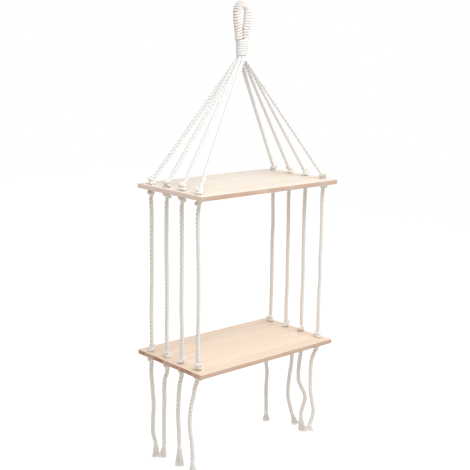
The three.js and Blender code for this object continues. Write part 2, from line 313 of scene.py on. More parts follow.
def route(line, outward, girth=1.0, flatness=1.0):
    """A bare line as an object, with its outward side, girth and flatness at each point."""
    mesh = bpy.data.meshes.new("route")
    mesh.from_pydata(line.tolist(), [(i, i + 1) for i in range(len(line) - 1)], [])
    save_attribute(mesh, "outward", outward, "FLOAT_VECTOR")
    for key, values in (("girth", girth), ("flatness", flatness)):
        save_attribute(mesh, key, np.broadcast_to(values, len(line)))
    return add_object("route", mesh)


def blended(tree, factor, first, second, mode="MIX"):
    """A colour Mix node's output."""
    mix = node(tree, "ShaderNodeMix", {0: factor, 6: first, 7: second}, data_type="RGBA")
    mix.blend_type = mode
    return mix.outputs[2]


def eased(tree, value, low, high):
    """A smooth step from 0 at low to 1 at high."""
    spread = node(tree, "ShaderNodeMapRange", {
        "Value": value, "From Min": low, "From Max": high}, interpolation_type="SMOOTHSTEP")
    return spread.outputs["Result"]


def new_material(name):
    """A material, its node tree and its shader."""
    material = bpy.data.materials.new(name)
    material.use_nodes = True
    return material, material.node_tree, material.node_tree.nodes["Principled BSDF"]


def saved(tree, name, output="Fac"):
    """A saved attribute, in a material."""
    return node(tree, "ShaderNodeAttribute", attribute_name=name).outputs[output]


def noise(tree, place, scale, detail, roughness=0.5):
    """A noise texture's value."""
    return node(tree, "ShaderNodeTexNoise", {
        "Vector": place, "Scale": scale, "Detail": detail, "Roughness": roughness
    }).outputs["Fac"]


def cotton(name, colour, shade_and_streak_colour, painted_shade_colour):
    """Soft matt cotton: painted shade makes it warmer and darker in the furrows between its yarns
    and darker between its strands; it is streaked along its fibres, with a fine nap."""
    strand_shift, fibres_round, fibres_along = 7.3, 5.0, 60.0
    furrow_shade_share, mottle_share, mottle_start, fibre_share = 0.22, 0.7, -0.22, 2.6
    painted_shade_start, painted_shade_end, painted_shade_share = 0.1, 0.55, 0.85
    mottle_scale, nap_scale, nap_share = 210.0, 2600.0, 0.5
    material, tree, shader = new_material(name)
    place = tree.nodes.new("ShaderNodeTexCoord").outputs["Object"]
    mottle = noise(tree, place, mottle_scale, 3.0, 0.6)
    along = node(tree, "ShaderNodeCombineXYZ", {
        "X": figure(tree, "MULTIPLY", saved(tree, "strand"), strand_shift),
        "Z": figure(tree, "MULTIPLY", saved(tree, "along"), fibres_along)}).outputs[0]
    around = vector(tree, "MULTIPLY", saved(tree, "round", "Vector"),
                    (fibres_round, fibres_round, 0.0))
    fibres = noise(tree, vector(tree, "ADD", around, along), 1.0, 4.0, 0.7)
    # Painted shade in the furrows between the yarns, added to the real mottle and fibre streaks
    depth = figure(tree, "MULTIPLY_ADD", saved(tree, "furrow"), -furrow_shade_share, furrow_shade_share)
    share = figure(tree, "ADD", depth, figure(
        tree, "MULTIPLY_ADD", mottle, mottle_share, mottle_start))
    share = figure(tree, "ADD", share, figure(
        tree, "MULTIPLY_ADD", fibres, fibre_share, -fibre_share / 2))
    tint = blended(tree, share, (*colour, 1), (*shade_and_streak_colour, 1))
    # Painted shade between strands and between a cord's turns, where a point lies deep in the rope
    between = eased(tree, saved(tree, "painted_groove_shade"), painted_shade_start, painted_shade_end)
    tint = blended(tree, figure(tree, "MULTIPLY", between, painted_shade_share), tint,
                   (*painted_shade_colour, 1))
    link(tree, tint, shader.inputs["Base Color"])
    nap = noise(tree, place, nap_scale, 2.0, 0.65)
    rough = figure(tree, "MULTIPLY_ADD", nap, nap_share, fibres)
    bump = node(tree, "ShaderNodeBump", {
        "Height": rough, "Strength": 0.9, "Distance": 0.0004})
    link(tree, bump.outputs[0], shader.inputs["Normal"])
    shader.inputs["Roughness"].default_value = 0.92
    shader.inputs["Specular IOR Level"].default_value = 0.2
    shader.inputs["Sheen Weight"].default_value = 0.18
    shader.inputs["Sheen Roughness"].default_value = 0.5
    return material


rope_tree = laid_rope_tree()
# Each cotton's colours: its own, the one for painted shade in furrows and for streaks, and the
# colour of the painted shade between strands
rope_cotton = cotton("rope_cotton", (0.97, 0.945, 0.915), (0.83, 0.785, 0.725),
                     (0.50, 0.45, 0.40))


def laid_rope(name, line, width=rope_width, outward=None, girth=1.0, lay=lay_length,
              strands=3, share=strand_share, flatness=1.0, yarns=yarns_round_strand,
              material=rope_cotton):
    """A laid rope along a line of points."""
    sides = carried_side(line) if outward is None else outward
    return grown(name, route(line, sides, girth, flatness), rope_tree, **{
        "Width": width, "Lay": lay, "Strands": strands, "Strand Share": share,
        "Yarns": yarns, "Material": material})


def dressed(piece, body, slot, *nodes):
    """A piece rides on its body and stands for its CAD nodes, if any, which are hidden. The slot
    is not used.
    """
    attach(piece, body)
    if nodes:
        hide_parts(*nodes)


# Free rope ends
# Under the lower board each leg runs out in a free end, 175 to 226 mm long. It hangs in the
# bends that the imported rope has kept, and its cut end is unlaid and brushed out into a flare.
# Each route runs down from the knot, in millimetres: sideways, back and up. The flare's length
# and end width follow, and how far its end leans over to the right.
mm = 0.001
hole_x = 0.1835
hole_rows = (0.08199, 0.026505, -0.026505, -0.08199)
free_ends_mm = {
    "left_1": (((0, 0, 0), (-0.5, 0.5, -8), (-1, 1, -20), (-1, 1, -34), (0, 0.5, -48),
                (1, -0.5, -62), (1.5, -1.5, -77), (2, -2.5, -92), (2.5, -3, -107),
                (2.5, -2.5, -122), (2, -1.5, -137), (2, -1, -152), (1.5, -1, -167),
                (3, -2.5, -182), (6, -5.5, -198)), 35, 20, -9),
    "left_2": (((0, 0, 0), (0.5, -1, -7), (0, -0.5, -14), (-2.5, 2, -24), (-4, 3.5, -37),
                (-4, 4, -50), (-4, 4, -64), (-4, 3.5, -78), (-4.5, 3.5, -92), (-5, 3, -106),
                (-5, 3.5, -120), (-4.5, 4, -136), (-4.5, 4.5, -152), (-4, 4.5, -170),
                (-4, 4, -188)), 26, 20, -5),
    "left_3": (((0, 0, 0), (-0.5, 0, -7), (-2, 1, -15), (-3.5, 2.5, -26), (-4.5, 3.5, -38),
                (-5, 4, -50), (-5, 4.5, -62), (-5.5, 4.5, -75), (-5.5, 5, -88),
                (-5.5, 5, -101), (-5, 4.5, -115), (-4.5, 4, -129), (-4, 3.5, -143),
                (-3.5, 3, -157), (-3.5, 3, -170)), 46, 22, 1),
    "left_4": (((0, 0, 0), (-2, 2, -7), (-4, 4, -15), (-5.5, 5, -26), (-7, 6, -38),
                (-9, 8, -51), (-11, 9.5, -65), (-12, 10.5, -80), (-12.5, 11, -96),
                (-12, 10.5, -112), (-11, 9, -127), (-9, 8, -142), (-8, 7, -158),
                (-7.5, 6.5, -174), (-7.5, 6.5, -191)), 18, 18, 0),
    "right_1": (((0, 0, 0), (-0.5, 0.5, -8), (-2, 2, -18), (-4, 3.5, -32), (-5.5, 5, -48),
                 (-6.5, 5.5, -64), (-6.5, 5.5, -80), (-5.5, 4.5, -96), (-4, 3.5, -113),
                 (-4.5, 4, -130), (-5, 4.5, -147), (-5, 4.5, -165), (-4.5, 4, -183),
                 (-4.5, 3.5, -202), (-4, 3.5, -221)), 20, 20, 0),
    "right_2": (((0, 0, 0), (2, -2, -7), (5, -4.5, -16), (9, -8, -28), (12, -10.5, -42),
                 (12.5, -11, -57), (12, -10.5, -73), (10.5, -9.5, -89), (9, -8, -105),
                 (8, -7, -121), (7, -6.5, -138), (7, -6.5, -155), (9, -8.5, -172),
                 (12.5, -11, -189), (16, -14, -205)), 28, 18, 1),
    "right_3": (((0, 0, 0), (0.5, 0, -8), (1, -0.5, -18), (0.5, -0.5, -30), (-1, 1, -45),
                 (-2, 2, -61), (-3, 2.5, -77), (-2.5, 2.5, -92), (-1.5, 1.5, -105),
                 (3, -2.5, -118), (7.5, -6.5, -131), (10.5, -9.5, -144), (9.5, -8.5, -158),
                 (6, -5.5, -174), (4, -3.5, -192)), 42, 24, 13),
    "right_4": (((0, 0, 0), (-2, 2, -7), (-5, 4.5, -15), (-8, 7, -26), (-10, 9, -39),
                 (-11, 9.5, -53), (-11, 9.5, -68), (-10.5, 9.5, -84), (-10.5, 9, -100),
                 (-9.5, 8.5, -116), (-7.5, 6.5, -132), (-5.5, 4.5, -147), (-3.5, 3, -162),
                 (-5.5, 4.5, -181), (-10, 9, -201)), 13, 22, 5),
}
legs = tuple(free_ends_mm)
free_end_exit = -0.7786
into_knot = 0.004
free_end_width = 0.0102
sideways_in_view = np.array((0.75, -0.66, 0))
thread_count = 160
thread_radius = 0.00037
thread_points = 15
thread_sides = 5
thread_unevenness = 0.004
crimp = 0.0007
crimp_length = 0.016
flare_overlap = 0.007
flare_points = 12
flare_root_width = rope_width * 0.85
flare_opening = 1.25
lean_curve = 1.6
seeds_per_flare = 10


def leg_foot(leg):
    """Where a leg passes through the boards, and its row from the back."""
    side, row = leg.split("_")
    return (hole_x if side == "right" else -hole_x), hole_rows[int(row) - 1]


def frayed_tree(material):
    """Loose threads that leave a rope's end together and flare out along a line."""
    tree, given, result = new_tree("frayed_end", {"End Width": "Float", "Seed": "Int"})
    line = node(tree, "GeometryNodeMeshToCurve", {"Mesh": given["Geometry"]})
    even = node(tree, "GeometryNodeResampleCurve", {
        "Curve": line.outputs[0], "Count": thread_points})
    threads = node(tree, "GeometryNodeDuplicateElements", {
        "Geometry": even.outputs[0], "Amount": thread_count}, domain="SPLINE")
    index = threads.outputs["Duplicate Index"]
    spline = tree.nodes.new("GeometryNodeSplineParameter").outputs
    chances = []
    for shift in range(3):
        chance = node(tree, "FunctionNodeRandomValue", {
            "ID": index, "Seed": figure(tree, "ADD", given["Seed"], shift)}, data_type="FLOAT")
        chances.append(chance.outputs[1])
    golden_turn = 2.39996
    angle = figure(tree, "ADD", figure(tree, "MULTIPLY", index, golden_turn), chances[0])
    disc = figure(tree, "SQRT", figure(tree, "DIVIDE", index, thread_count))
    root = flare_root_width / 2
    spread = figure(tree, "SUBTRACT", figure(tree, "MULTIPLY", given["End Width"], 0.5), root)
    opening = figure(tree, "POWER", spline["Factor"], flare_opening)
    radius = figure(tree, "MULTIPLY", disc, figure(
        tree, "MULTIPLY_ADD", spread, opening, root))
    wave = figure(tree, "MULTIPLY_ADD", figure(
        tree, "DIVIDE", spline["Length"], crimp_length), math.tau, figure(
            tree, "MULTIPLY", chances[1], math.tau))
    waviness = figure(tree, "MULTIPLY", crimp, opening)
    tangent, outward, side = route_sides(tree)
    moves = []
    for direction, turn in ((outward, "COSINE"), (side, "SINE")):
        reach = figure(tree, "MULTIPLY_ADD", figure(tree, turn, angle), radius, figure(
            tree, "MULTIPLY", figure(tree, turn, wave), waviness))
        moves.append(vector(tree, "SCALE", direction, scale=reach))
    longer = figure(tree, "MULTIPLY", figure(
        tree, "MULTIPLY", figure(tree, "SUBTRACT", chances[2], 0.5), thread_unevenness),
        spline["Factor"])
    moves.append(vector(tree, "SCALE", tangent, scale=longer))
    placed = moved(tree, stored(tree, threads.outputs[0], "furrow", chances[1]), vector(
        tree, "ADD", vector(tree, "ADD", *moves[:2]), moves[2]))
    circle = node(tree, "GeometryNodeCurvePrimitiveCircle", {
        "Resolution": thread_sides, "Radius": 1.0})
    skin = node(tree, "GeometryNodeCurveToMesh", {
        "Curve": placed, "Profile Curve": circle.outputs["Curve"],
        "Scale": thread_radius, "Fill Caps": True})
    return finished(tree, skin.outputs[0], material, result)


flare_tree = frayed_tree(cotton(
    "thread_cotton", (1.0, 0.975, 0.94), (1.0, 0.95, 0.90), (0.9, 0.85, 0.8)))
for number, leg in enumerate(legs):
    points_mm, flare_length_mm, flare_width_mm, lean_mm = free_ends_mm[leg]
    x, y = leg_foot(leg)
    free_exit = np.array((x, y, free_end_exit))
    body = f"free_end_{leg}"
    points = np.array(points_mm, float) * mm + free_exit
    points[0] += (0, 0, into_knot)
    line = smooth_line(points)
    sides = carried_side(line)
    down = line[-1] - line[-4]
    down /= np.linalg.norm(down)
    flare_start = line[-1] - down * flare_overlap
    flare_end = line[-1] + down * flare_length_mm * mm
    flare_line = np.linspace(flare_start, flare_end, flare_points)
    leaning = np.linspace(0, 1, flare_points)[:, None] ** lean_curve
    flare_line += lean_mm * mm * sideways_in_view * leaning
    flare_sides = np.tile(sides[-1], (flare_points, 1))
    flare = grown(f"frayed_end_{leg}", route(flare_line, flare_sides), flare_tree, **{
        "End Width": flare_width_mm * mm, "Seed": number * seeds_per_flare})
    free_end = laid_rope(f"free_end_rope_{leg}", line, free_end_width, sides)
    dressed(free_end, body, "cotton_rope", f"tail_{leg}")
    dressed(flare, body, "cotton_rope")


# Ropes between the boards
# Each leg runs straight down from board to board. The cords have been packed and handled, so
# each bows by a millimetre or two, sideways in the view. The bows are given at levels under the
# upper board's top, in millimetres.
upper_top = -0.377
lower_top = -0.757
board_thickness = 0.01
knot_reach = 0.0116
mid_rope_width = 0.0094
bows_mm = {
    "left_1": ((-36, -1.0), (-60, 0.2), (-130, 0.1), (-200, 0.6), (-290, -0.5)),
    "left_2": ((-36, -0.8), (-84, -1.0), (-116, -1.2), (-180, -0.4), (-240, 0.3),
               (-300, -0.2)),
    "left_3": ((-34, -1.4), (-60, -1.2), (-116, -0.7), (-212, -0.8), (-260, -0.9),
               (-310, 0.4)),
    "left_4": ((-42, -2.4), (-84, -1.8), (-116, -1.0), (-160, 0.1), (-212, 0.6),
               (-276, 0.3), (-320, -0.8)),
    "right_1": ((-60, -0.8), (-132, 1.0), (-164, 0.2), (-244, 0.8), (-308, 1.1)),
    "right_2": ((-52, -1.6), (-116, -0.6), (-212, -0.3), (-260, 0.5), (-320, -0.4)),
    "right_3": ((-52, -0.8), (-116, -1.2), (-196, -0.1), (-244, 0.4), (-308, -0.3)),
    "right_4": ((-52, -0.4), (-132, 0.7), (-196, -0.1), (-228, 0.8), (-276, -0.5)),
}
mid_rope_start = upper_top - board_thickness - knot_reach
mid_rope_end = lower_top + knot_reach
drawn_girth = 0.78
drawn_length = 0.02
for leg in legs:
    x, y = leg_foot(leg)
    foot = np.array((x, y, 0))
    points = [foot + (0, 0, mid_rope_start + into_knot), foot + (0, 0, mid_rope_start)]
    for level_mm, bow_mm in bows_mm[leg]:
        height = (0, 0, upper_top + level_mm * mm)
        points.append(foot + height + sideways_in_view * bow_mm * mm)
    points += [foot + (0, 0, mid_rope_end), foot + (0, 0, mid_rope_end - into_knot)]
    line = smooth_line(points)
    from_knot = np.minimum(line[0, 2] - line[:, 2], line[:, 2] - line[-1, 2])
    mid_rope = laid_rope(f"rope_between_boards_{leg}", line, mid_rope_width,
                         girth=np.interp(from_knot, (0, drawn_length), (drawn_girth, 1)))
    dressed(mid_rope, f"{leg.split('_')[0]}_row", "cotton_rope", f"mid_rope_{leg}")


# Slings
# Eight taut cords fan out from the collar's foot to the knots on the upper board. They leave
# the collar pressed together in a ring.
sling_width = 0.0088
fan_radius = 0.0108
fan_level = -0.1096
mouth_radius = 0.0066
mouth_level = -0.0985
mouth_girth = 0.63
knot_middle = 0.0058
sling_points = 9
first_sling_share = 0.03
# The slings are the same rope as the legs. Their copy of its cotton has paler shade colours:
# painted light for the brighter light on the slings.
painted_lit_sling_cotton = cotton("painted_lit_sling_cotton", (0.935, 0.93, 0.92), (0.91, 0.895, 0.875),
                      (0.88, 0.835, 0.79))
for leg in legs:
    side, row = leg.split("_")
    turn = math.pi / 4 * (int(row) - 0.5)
    spoke = np.array(((1 if side == "right" else -1) * math.sin(turn), math.cos(turn), 0))
    x, y = leg_foot(leg)
    foot = np.array((x, y, upper_top + knot_middle))
    fan = spoke * fan_radius + (0, 0, fan_level)
    mouth = spoke * mouth_radius + (0, 0, mouth_level)
    shares = np.linspace(first_sling_share, 1, sling_points)[:, None]
    line = smooth_line([mouth, fan, *(fan + (foot - fan) * shares)])
    depth = np.clip((line[:, 2] - fan_level) / (mouth_level - fan_level), 0, 1)
    sling = laid_rope(f"sling_rope_{leg}", line, sling_width,
                      girth=1 - (1 - mouth_girth) * depth, material=painted_lit_sling_cotton)
    dressed(sling, "upper_tier", "cotton_rope", f"sling_{leg}")


# Knots
# Above and below each board every leg has an overhand knot, drawn tight against its hole. The
# knot's line is drawn up from a loose one: it shortens while the cord keeps its width. The
# reaches are in widths of the knot's cord, from the middle of its lump.
knot_cord_width = 0.0057
knot_girth = 0.83
under_squash = 0.8
knot_lay = 0.019
hole_girth = 0.95
lump_reach = 1.45
lump_height = 1.4
reach_above = 1.55
reach_below = 1.4
board_gap = 0.0002
hole_rim = 0.001
rim_blend = 0.002
sling_way = (0.55, 1.3, 0.83)
turn_under_board = 1.9
knot_turns = {"upper": (0.4, 2.3, 1.2, 5.4, 3.6, 0.9, 4.6, 2.9),
              "lower": (5.1, 0.8, 3.9, 2.0, 1.5, 4.3, 2.6, 0.1)}


def tight_overhand(count=84, rounds=2200, half=2.6):
    """An overhand knot's line in cord widths, from the top end down, its lump at the origin.
    It starts as a loose trefoil, cut open. Each round evens it out, pushes apart what is nearer
    than a width and draws its ends towards their places."""
    loose_radius, loose_wave, loose_height = 2.6, 1.2, 1.44
    evening, pushing, drawing = 0.35, 1.6, 0.05
    nearest_along = 1.6
    rounds_to_respacing = 40
    turn = math.tau * np.linspace(0.05, 0.95, count)
    radius = loose_radius + loose_wave * np.cos(3 * turn)
    line = np.stack([radius * np.cos(2 * turn), radius * np.sin(2 * turn),
                     loose_height * np.sin(3 * turn)], axis=1)
    first, second = np.triu_indices(count, 1)
    for turn_number in range(rounds):
        line[1:-1] += evening * ((line[:-2] + line[2:]) / 2 - line[1:-1])
        step = steps(line).mean()
        far = second - first > math.ceil(nearest_along / step)
        a, b = first[far], second[far]
        apart = line[b] - line[a]
        distance = np.linalg.norm(apart, axis=1)
        near = distance < 1
        a, b, apart, distance = a[near], b[near], apart[near], distance[near]
        push = apart / distance[:, None] * ((1 - distance) / 4)[:, None]
        move = np.zeros_like(line)
        touches = np.zeros(count)
        for ends, shift in ((a, -push), (b, push)):
            np.add.at(move, ends, shift)
            np.add.at(touches, ends, 1)
        line += pushing * move / np.maximum(touches, 1)[:, None]
        middle = line[count // 6:-count // 6].mean(axis=0)
        line -= middle
        line[0] += ((0, 0, half) - line[0]) * drawing
        line[-1] += ((0, 0, -half) - line[-1]) * drawing
        if turn_number % rounds_to_respacing == 0:
            line = even_line(line, step)
    return line


knot_line = tight_overhand()
knot_cotton = cotton("knot_cotton", (0.98, 0.955, 0.925), (0.91, 0.865, 0.81),
                     (0.80, 0.73, 0.66))


def knot_run(turn, flip):
    """The knot's line above a board's face, or pressed up under it, turned about its hole."""
    cosine, sine = math.cos(turn), math.sin(turn)
    turned = knot_line @ np.array(((cosine, sine, 0), (-sine, cosine, 0), (0, 0, 1)))
    inside = turned[np.abs(turned[:, 2]) < lump_reach] * knot_cord_width
    middle = knot_cord_width * lump_height + board_gap
    height = 1 if flip > 0 else under_squash
    return (inside + (0, 0, middle)) * (1, 1, flip * height), middle * height


for tier, top, body in (("upper", upper_top, "upper_tier"), ("lower", lower_top, "lower_tier")):
    for number, leg in enumerate(legs):
        x, y = leg_foot(leg)
        hole = np.array((x, y, top))
        turn = knot_turns[tier][number]
        above, middle = knot_run(turn, 1)
        under, under_middle = knot_run(turn + turn_under_board, -1)
        under = under[::-1] if under[0, 2] < under[-1, 2] else under
        way_up = np.array((0, 0, 1.0))
        if tier == "upper":
            way_up = np.array((
                -math.copysign(sling_way[0], x), -y * sling_way[1], sling_way[2]))
        start = (0, 0, middle) + way_up * knot_cord_width * reach_above
        rows = [start, *above, (0, 0, -hole_rim), (0, 0, -board_thickness + hole_rim),
                *(under - (0, 0, board_thickness)),
                (0, 0, -board_thickness - under_middle - knot_cord_width * reach_below)]
        line = even_line(smooth_line(rows), rope_step) + hole
        depth = line[:, 2] - top
        from_face = np.minimum(-depth, depth + board_thickness)
        in_hole = np.clip(from_face / rim_blend + 0.5, 0, 1)
        knots = laid_rope(f"knots_{tier}_{leg}", line, lay=knot_lay,
                          girth=knot_girth + (hole_girth - knot_girth) * in_hole,
                          material=knot_cotton)
        dressed(knots, body, "cotton_rope", f"{tier}_knots_{leg}")


# Gathered ropes and the throat under them
# Inside the collar the eight ropes run side by side as one bundle, and its last bit, from which
# the slings fan out, shows in the collar's mouth.
collar_top = -0.0655
collar_foot = -0.103
bundle_points = 16
bundle_lay = 0.25
for name, body, nodes, levels, widths, strands in (
    ("gathered_ropes_outer", "collar", ("gathered_ropes",), (-0.0965, -0.0662),
     (0.0188, 0.0218), 8),
    ("gathered_ropes_inner", "collar", (), (-0.0965, -0.0664), (0.0096, 0.0104), 4),
    ("throat_bundle", "throat", ("rope_throat",), (-0.1125, -0.0962), (0.0092, 0.0125), 5),
):
    line = np.linspace((0, 0, levels[0]), (0, 0, levels[1]), bundle_points)
    girth = np.linspace(widths[0], widths[1], bundle_points) / widths[1]
    touching_share = 1 / (1 + 1 / math.sin(math.pi / strands))
    bundle = laid_rope(name, line, widths[1], girth=girth, lay=bundle_lay, strands=strands,
                       share=touching_share)
    dressed(bundle, body, "cotton_rope", *nodes)


# Hanging loop
# Above the collar the cords stand up in two legs and turn over the hook as one loop, 32 mm
# between its legs. A thin cord serves it from foot to foot, with flattened turns that touch.
loop_foot_x = 0.00875
loop_foot_level = -0.0702
loop_half_width = 0.016
crown_level = 0.0085
shoulder_level = crown_level - loop_half_width
leg_pull = 0.4
quarter_arc_pull = 0.5523
loop_core_width = 0.0116
loop_core_lay = 0.16
loop_core_share = 0.414
serving_turns = 33
serving_width = 0.0052
serving_thickness = 0.0029
turn_overlap = 1.02
crown_crowding = 0.35
collar_turns = 8
collar_cord_width = 0.0046
collar_cord_thickness = 0.0026
collar_core_widths = (0.0192, 0.0222)
points_per_turn = 64
tuck_sharpness = 6
tuck_depth = 0.7
tucked_girth = 0.55
thin_cord_lay = 0.013
thin_cord_yarns = 5
served_width = loop_core_width + 0.0003


def bezier(a, b, c, d, count=24):
    """A curve in the loop's plane from a to d, pulled towards b and c on its way."""
    t = np.linspace(0, 1, count)[:, None]
    a, b, c, d = (np.array((place[0], 0, place[1])) for place in (a, b, c, d))
    return (1 - t) ** 3 * a + 3 * t * (1 - t) ** 2 * b + 3 * t * t * (1 - t) * c + t ** 3 * d


def loop_line():
    """The line down the middle of the loop, from the left foot over the hook to the right."""
    pull = (shoulder_level - loop_foot_level) * leg_pull
    bow = loop_half_width * quarter_arc_pull
    foot = (-loop_foot_x, loop_foot_level)
    shoulder = (-loop_half_width, shoulder_level)
    crown = (0, crown_level)
    rise = bezier(foot, (foot[0], foot[1] + pull), (shoulder[0], shoulder[1] - pull), shoulder)
    over = bezier(shoulder, (shoulder[0], shoulder[1] + bow), (-bow, crown[1]), crown)
    left = np.concatenate([rise, over[1:]])
    return np.concatenate([left, left[-2::-1] * (-1, 1, 1)])


def wound_cord(name, line, turns, core_widths, cord_width, cord_thickness, material):
    """A cord wound round a line, its turns side by side and its ends tucked under."""
    count = turns * points_per_turn
    share = np.linspace(0, 1, count)
    middle = even_line(line, steps(line).sum() / count)
    crowd = np.cumsum(1 + crown_crowding * (middle[:, 2] > shoulder_level))
    at = 0.5 / turns + share * (1 - 1 / turns)
    place = np.stack([np.interp(at, crowd / crowd[-1], middle[:, k])
                      for k in range(3)], axis=1)
    along = np.gradient(place, axis=0)
    along /= np.linalg.norm(along, axis=1)[:, None]
    across = np.tile((0.0, 1.0, 0.0), (count, 1))
    in_plane = np.cross(across, along)
    angle = (math.tau * (turns - 1) * share)[:, None]
    radial = in_plane * np.cos(angle) + across * np.sin(angle)
    tuck = np.clip(np.minimum(share, 1 - share) * turns * tuck_sharpness, 0, 1)
    core = core_widths[0] + (core_widths[1] - core_widths[0]) * at
    radius = core / 2 + cord_thickness * (0.5 - tuck_depth * (1 - tuck))
    helix = place + radial * radius[:, None]
    per_turn = round(count / (turns - 1))
    room = np.linalg.norm(helix[per_turn:] - helix[:-per_turn], axis=1)
    room = np.interp(np.arange(count), np.arange(len(room)) + per_turn / 2, room)
    girth = room * turn_overlap / cord_width * (tucked_girth + (1 - tucked_girth) * tuck)
    return laid_rope(name, helix, cord_width, radial, girth=girth, lay=thin_cord_lay,
                     flatness=cord_thickness / (cord_width * girth),
                     yarns=thin_cord_yarns, material=material)


wrap_cotton = cotton("wrap_cotton", (1.0, 0.98, 0.965), (0.94, 0.90, 0.87),
                     (0.82, 0.75, 0.70))
# The collar's copy of the wrapping cord's cotton, with much weaker painted shade
collar_cotton = cotton("collar_cotton", (1.0, 0.985, 0.975), (0.97, 0.94, 0.92),
                       (0.94, 0.89, 0.86))
core_line = loop_line()
loop_core = laid_rope("loop_core_ropes", core_line, loop_core_width, lay=loop_core_lay,
                      strands=4, share=loop_core_share)
dressed(loop_core, "hanger", "cotton_rope", "loop_core")
serving = wound_cord("loop_serving_cord", core_line, serving_turns,
                     (served_width, served_width), serving_width, serving_thickness,
                     wrap_cotton)
dressed(serving, "hanger", "wrap_cord", "loop_serving")
collar_line = np.linspace((0, 0, collar_foot), (0, 0, collar_top), 40)
collar = wound_cord("collar_cord", collar_line, collar_turns, collar_core_widths,
                    collar_cord_width, collar_cord_thickness, collar_cotton)
dressed(collar, "collar", "wrap_cord", "collar_wrap")


# Boards
# Each board is seven pine strips glued edge to edge, planed, with eased edges and four holes
# near each end. Every strip is cut from another place in its log, so its rings and tone differ.
board_length = 0.4
board_depth = 0.225
strip_count = 7
corner_radius = 0.003
corner_steps = 6
edge_ease = 0.0009
hole_radius = 0.00475
hole_sides = 40
half_glue_line = 0.00005
sharp_angle = math.radians(32)
first_and_last_share = {"upper": (0.13, 0.104), "lower": (0.108, 0.14)}
# A strip's log lies off to one side and below: sideways, down and its lean, then its tone
strip_logs = {
    "upper": ((-0.012, 0.062, 0.030, 0.50), (0.020, 0.050, -0.024, 0.32),
              (-0.004, 0.085, 0.018, 0.62), (0.016, 0.045, 0.034, 0.40),
              (-0.022, 0.070, -0.020, 0.55), (0.006, 0.055, 0.026, 0.28),
              (0.014, 0.078, -0.030, 0.48)),
    "lower": ((0.018, 0.055, -0.022, 0.58), (-0.008, 0.072, 0.030, 0.44),
              (0.010, 0.048, -0.034, 0.66), (-0.020, 0.064, 0.022, 0.38),
              (0.004, 0.080, 0.026, 0.52), (-0.014, 0.052, -0.028, 0.60),
              (0.022, 0.068, 0.020, 0.34)),
}


def rounded_outline():
    """The board's outline as a ring of points."""
    ring = []
    for quarter in range(4):
        turn = math.tau * quarter / 4
        x = (board_length / 2 - corner_radius) * (1 if quarter in (0, 3) else -1)
        y = (board_depth / 2 - corner_radius) * (1 if quarter < 2 else -1)
        for step in range(corner_steps + 1):
            angle = turn + math.tau / 4 * step / corner_steps
            ring.append((x + corner_radius * math.cos(angle), y + corner_radius * math.sin(angle)))
    return ring


def drilled_blank():
    """The whole board in one piece, its top at zero, with eased edges and hole rims."""
    rings = [rounded_outline()]
    for x in (-hole_x, hole_x):
        for y in hole_rows:
            rings.append([(x + hole_radius * math.cos(turn), y + hole_radius * math.sin(turn))
                          for turn in np.linspace(0, math.tau, hole_sides, endpoint=False)])
    outline = bpy.data.curves.new("blank", "CURVE")
    outline.dimensions = "2D"
    outline.fill_mode = "BOTH"
    outline.extrude = board_thickness / 2 - edge_ease
    outline.bevel_depth = edge_ease
    outline.bevel_resolution = 3
    outline.offset = -edge_ease
    for ring in rings:
        spline = outline.splines.new("POLY")
        spline.points.add(len(ring) - 1)
        for point, (x, y) in zip(spline.points, ring):
            point.co = (x, y, 0, 1)
        spline.use_cyclic_u = True
    mesh = plain_mesh(add_object("blank", outline))
    mesh.transform(Matrix.Translation((0, 0, -board_thickness / 2)))
    return mesh


def sawn_strip(name, board, back_cut, front_cut, top, log, material):
    """One strip between two cuts across the board, which knows where its log's middle lies."""
    bm = bmesh.new()
    bm.from_mesh(board)
    bmesh.ops.remove_doubles(bm, verts=bm.verts, dist=1e-6)
    for cut, outside in ((back_cut, 1), (front_cut, -1)):
        if abs(cut) < board_depth / 2:
            bmesh.ops.bisect_plane(
                bm, geom=[*bm.verts, *bm.edges, *bm.faces], plane_co=(0, cut, 0),
                plane_no=(0, outside, 0), clear_outer=True)
            bmesh.ops.holes_fill(bm, edges=[edge for edge in bm.edges if edge.is_boundary])
    bmesh.ops.recalc_face_normals(bm, faces=bm.faces)
    mesh = bpy.data.meshes.new(name)
    bm.to_mesh(mesh)
    bm.free()
    mesh.transform(Matrix.Translation((0, 0, top)))
    mesh.shade_smooth()
    mesh.set_sharp_from_angle(angle=sharp_angle)
    sideways, down, lean, tone = log
    places = np.empty(len(mesh.vertices) * 3, np.float32)
    mesh.vertices.foreach_get("co", places)
    places = places.reshape(-1, 3)
    middle = (back_cut + front_cut) / 2
    from_log = np.stack([places[:, 0], places[:, 1] - middle - sideways - lean * places[:, 0],
                         places[:, 2] - top + down], axis=1)
    save_attribute(mesh, "from_log", from_log, "FLOAT_VECTOR")
    save_attribute(mesh, "across", (back_cut - places[:, 1]) / (back_cut - front_cut))
    save_attribute(mesh, "tone", np.full(len(places), tone))
    mesh.materials.append(material)
    return add_object(name, mesh)


# Pine's rings and colours: how far apart the rings are and how much they waver, the glue lines,
# the tan long edges with painted shade, and a warm patch near the lower board's left end that
# fades with distance, partly the wood's colour and partly painted light
ring_width = 0.0030
ring_waver = 2.6
glue_share = 0.035
glue_shade = -0.09
edge_tan_and_shade = (0.58, 0.405, 0.30)
least_tan = 0.37
patch_and_light_colour = (0.98, 0.66, 0.42)
patch_place = (-0.114, 0.028, lower_top)
patch_fading = (28.0, 60.0, 60.0)
patch_and_light_strength = 0.5


